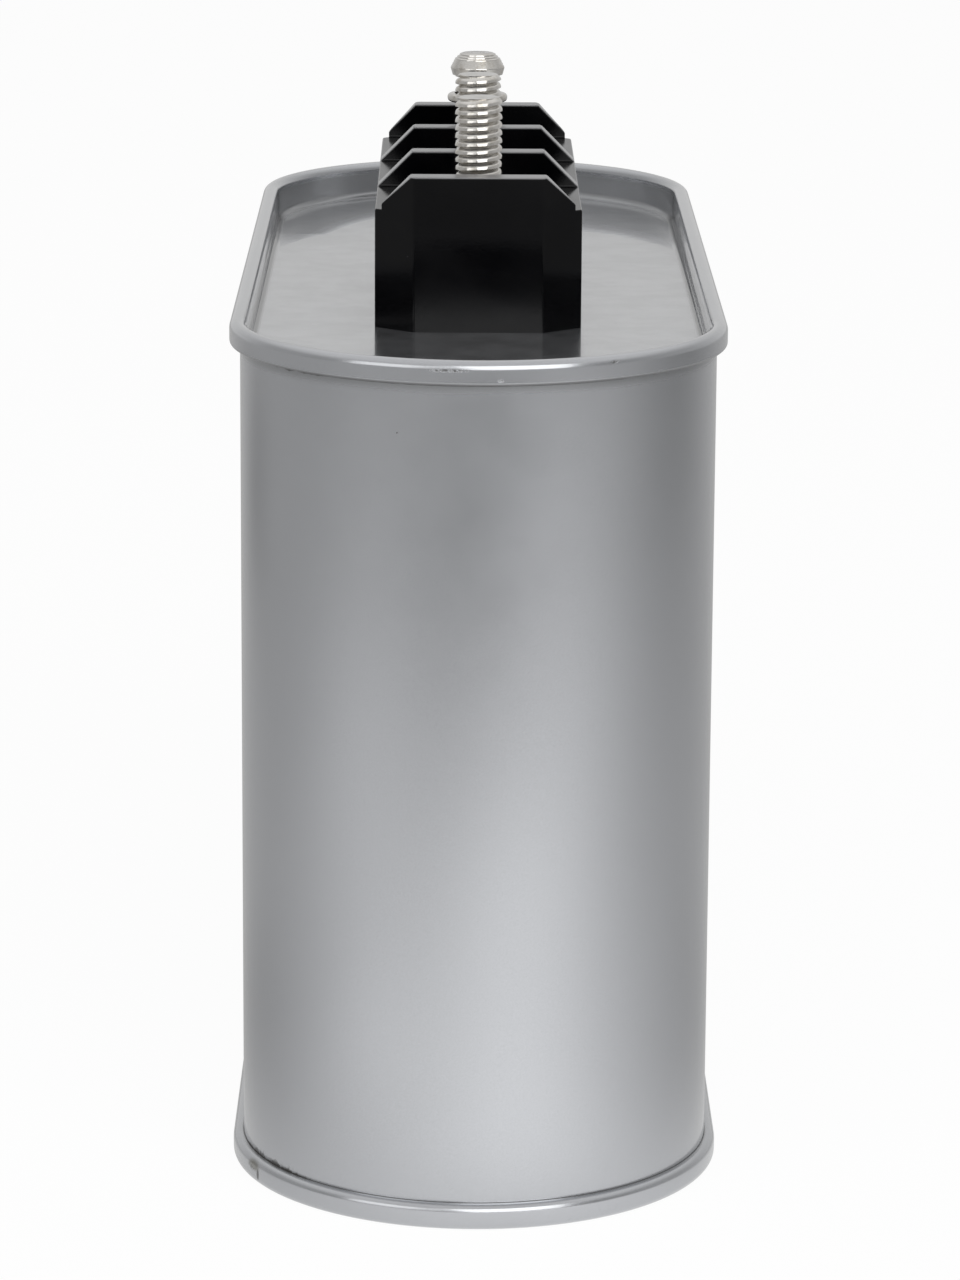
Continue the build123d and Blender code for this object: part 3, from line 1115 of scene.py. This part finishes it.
def softbox(name, place, size, power):
    """A rectangular studio light that faces the part."""
    lamp = bpy.data.lights.new(name, "AREA")
    lamp.shape = "RECTANGLE"
    lamp.size, lamp.size_y = size
    lamp.energy = power
    holder = put_in_scene(name, lamp)
    holder.location = place
    aim = Vector(LIGHT_TARGET) - Vector(place)
    holder.rotation_euler = aim.to_track_quat("-Z", "Y").to_euler()


def mirrored_ray(light_path):
    """Whether a ray comes off a reflection or through something clear."""
    return highest(light_path.outputs["Is Glossy Ray"], light_path.outputs["Is Transmission Ray"])


# Where the studio lights aim, and their places, sizes and powers: one each side of the camera and a weak one
# between them
LIGHT_TARGET = (0, -0.085, 0.1)
LIGHTS = {
    "left_light": ((-0.74, -0.83, 0.46), (0.66, 0.66), 1.6),
    "middle_light": ((-0.38, -1.10, 0.46), (0.24, 0.66), 0.32),
    "right_light": ((0.35, -1.13, 0.60), (1.12, 1.05), 7.3),
}
# The floor's paper, how bright it is to the camera, and how much of what the camera sees is that glow
PAPER = (0.82, 0.82, 0.82, 1)
FLOOR_GLOW = 1.05
GLOW_SHARE = 0.9
# Where the studio's tones meet, as parts of a direction: in front, behind and overhead
FRONT_EDGE = (-0.7, 0.1)
BACKDROP_EDGE = (0.3, 0.9)
OVERHEAD_EDGE = (0.35, 0.85)
# Pools of light and shade that the part mirrors from the floor: centre, reach (in millimetres) and change
FLOOR_POOLS = (
    ((20, -110), 44, 0.33),
    ((43, -198), 113, 0.52),
    ((196, -279), 197, 0.39),
    ((-68, -126), 45, 0.17),
    ((-181, -199), 139, 0.35),
    ((700, 130), 300, -0.26),
    ((-351, 248), 113, -0.16),
    ((-75, -20), 50, -0.10),
    ((75, -20), 50, -0.08),
    ((-60, -560), 190, -0.11),
    ((120, -540), 190, -0.16),
    ((-40, -330), 130, 0.07),
    ((-20, -130), 60, 0.05),
)


class CAPACITOR_OT_stage(bpy.types.Operator):
    """Make the pale floor, the studio light and the camera"""

    bl_idname = "capacitor.stage"
    bl_label = "Stage"

    def execute(self, context):
        stage = context.scene.capacitor_stage
        self.lay_floor(stage)
        for name, (place, size, power) in LIGHTS.items():
            softbox(name, place, size, power)
        self.surround(stage)
        self.place_camera(stage)
        context.scene.view_settings.view_transform = "Standard"
        return {"FINISHED"}

    def lay_floor(self, stage):
        """A round floor: white to the camera, with pools of light and shade for what the part mirrors."""
        bm = bmesh.new()
        bmesh.ops.create_circle(bm, cap_ends=True, segments=FLOOR_STEPS, radius=stage.floor_radius)
        mesh = bpy.data.meshes.new("floor")
        bm.to_mesh(mesh)
        bm.free()
        floor = put_in_scene("floor", mesh)
        material = bpy.data.materials.new("pale_floor")
        tree = empty_tree(material)
        place = object_place(tree)
        reflected = stage.floor_tone
        for centre, reach, change in FLOOR_POOLS:
            offset = vectors("SUBTRACT", place, (centre[0] * MM, centre[1] * MM, 0))
            away = maths("DIVIDE", vectors("LENGTH", offset, output="Value"), reach * MM)
            fading = maths("EXPONENT", times(away, away, -1.0))
            reflected = maths("ADD", reflected, times(fading, change))
        light_path = tree.nodes.new("ShaderNodeLightPath")
        camera_sees = light_path.outputs["Is Camera Ray"]
        mirrored = mirrored_ray(light_path)
        paper = tree.nodes.new("ShaderNodeBsdfDiffuse")
        paper.inputs["Color"].default_value = PAPER
        glow = tree.nodes.new("ShaderNodeEmission")
        glow.inputs["Color"].default_value = (1, 1, 1, 1)
        level = scaled(camera_sees, FLOOR_GLOW, times(mirrored, reflected))
        feed(glow.inputs["Strength"], level)
        amount = maths("ADD", times(camera_sees, GLOW_SHARE), mirrored)
        mix = tree.nodes.new("ShaderNodeMixShader")
        feed(mix.inputs["Fac"], amount)
        feed(mix.inputs[1], paper.outputs["BSDF"])
        feed(mix.inputs[2], glow.outputs["Emission"])
        output = tree.nodes.new("ShaderNodeOutputMaterial")
        feed(output.inputs["Surface"], mix.outputs["Shader"])
        mesh.materials.append(material)

    def surround(self, stage):
        """White to the camera; a softer grey studio in reflections and as light from all round."""
        world = bpy.data.worlds.new("studio")
        bpy.context.scene.world = world
        tree = empty_tree(world)
        light_path = tree.nodes.new("ShaderNodeLightPath")
        mirrored = mirrored_ray(light_path)
        axes = axes_of(tree.nodes.new("ShaderNodeTexCoord").outputs["Generated"])
        near = spread(axes["Y"], *FRONT_EDGE, stage.front, stage.surround)
        backdrop = spread(axes["Y"], *BACKDROP_EDGE, 0.0, stage.backdrop - stage.surround)
        overhead = spread(axes["Z"], *OVERHEAD_EDGE, 0.0, stage.overhead - stage.surround)
        studio = chained("ADD", (near, backdrop, overhead))
        studio = maths("SUBTRACT", studio, stage.ambient)
        level = maths("ADD", times(mirrored, studio), stage.ambient)
        level = highest(level, light_path.outputs["Is Camera Ray"])
        background = tree.nodes.new("ShaderNodeBackground")
        background.inputs["Color"].default_value = (1, 1, 1, 1)
        feed(background.inputs["Strength"], level)
        output = tree.nodes.new("ShaderNodeOutputWorld")
        feed(output.inputs["Surface"], background.outputs["Background"])

    def place_camera(self, stage):
        """The camera at the angle of the picture that the part was made from."""
        lens = bpy.data.cameras.new("camera")
        lens.sensor_fit = "VERTICAL"
        lens.sensor_height = 36
        lens.lens = stage.lens_share * lens.sensor_height
        lens.clip_start = 0.01
        holder = put_in_scene("camera", lens)
        upright = Matrix.Rotation(math.pi / 2, 4, "X")
        turn = Matrix.Rotation(-stage.camera_yaw, 4, "Z")
        tilt = Matrix.Rotation(-stage.camera_pitch, 4, "X")
        lean = Matrix.Rotation(stage.camera_roll, 4, "Z")
        holder.matrix_world = Matrix.Translation(stage.camera_place) @ turn @ upright @ tilt @ lean
        bpy.context.scene.camera = holder


class CAPACITOR_PT_panel(bpy.types.Panel):
    """Lists the settings and the steps that make the capacitor"""

    bl_idname = "CAPACITOR_PT_panel"
    bl_label = "Capacitor"
    bl_space_type = "VIEW_3D"
    bl_region_type = "UI"
    bl_category = "Capacitor"

    def draw(self, context):
        layout = self.layout
        for setting in SETTINGS:
            group = getattr(context.scene, setting)
            box = layout.box()
            for name in group.__annotations__:
                box.prop(group, name)
        for step in STEPS:
            layout.operator(step.bl_idname)


SETTINGS = {
    "capacitor_can": CanSettings,
    "capacitor_block": BlockSettings,
    "capacitor_stud": StudSettings,
    "capacitor_finish": FinishSettings,
    "capacitor_stage": StageSettings,
}
STEPS = (
    CAPACITOR_OT_finishes,
    CAPACITOR_OT_can_wall,
    CAPACITOR_OT_can_ends,
    CAPACITOR_OT_terminal_block,
    CAPACITOR_OT_studs,
    CAPACITOR_OT_cap_and_ring,
    CAPACITOR_OT_stage,
)


def register():
    """Register the settings, the steps and the panel."""
    for setting, group in SETTINGS.items():
        bpy.utils.register_class(group)
        setattr(bpy.types.Scene, setting, PointerProperty(type=group))
    for step in STEPS:
        bpy.utils.register_class(step)
    bpy.utils.register_class(CAPACITOR_PT_panel)


def unregister():
    """Take the panel, the steps and the settings away again."""
    bpy.utils.unregister_class(CAPACITOR_PT_panel)
    for step in reversed(STEPS):
        bpy.utils.unregister_class(step)
    for setting, group in SETTINGS.items():
        delattr(bpy.types.Scene, setting)
        bpy.utils.unregister_class(group)


def main():
    """Register the steps, then make the finishes, the capacitor's pieces and the stage."""
    register()
    bpy.ops.capacitor.finishes()
    bpy.ops.capacitor.can_wall()
    bpy.ops.capacitor.can_ends()
    bpy.ops.capacitor.terminal_block()
    bpy.ops.capacitor.studs()
    bpy.ops.capacitor.cap_and_ring()
    bpy.ops.capacitor.stage()


if __name__ == "__main__":
    main()
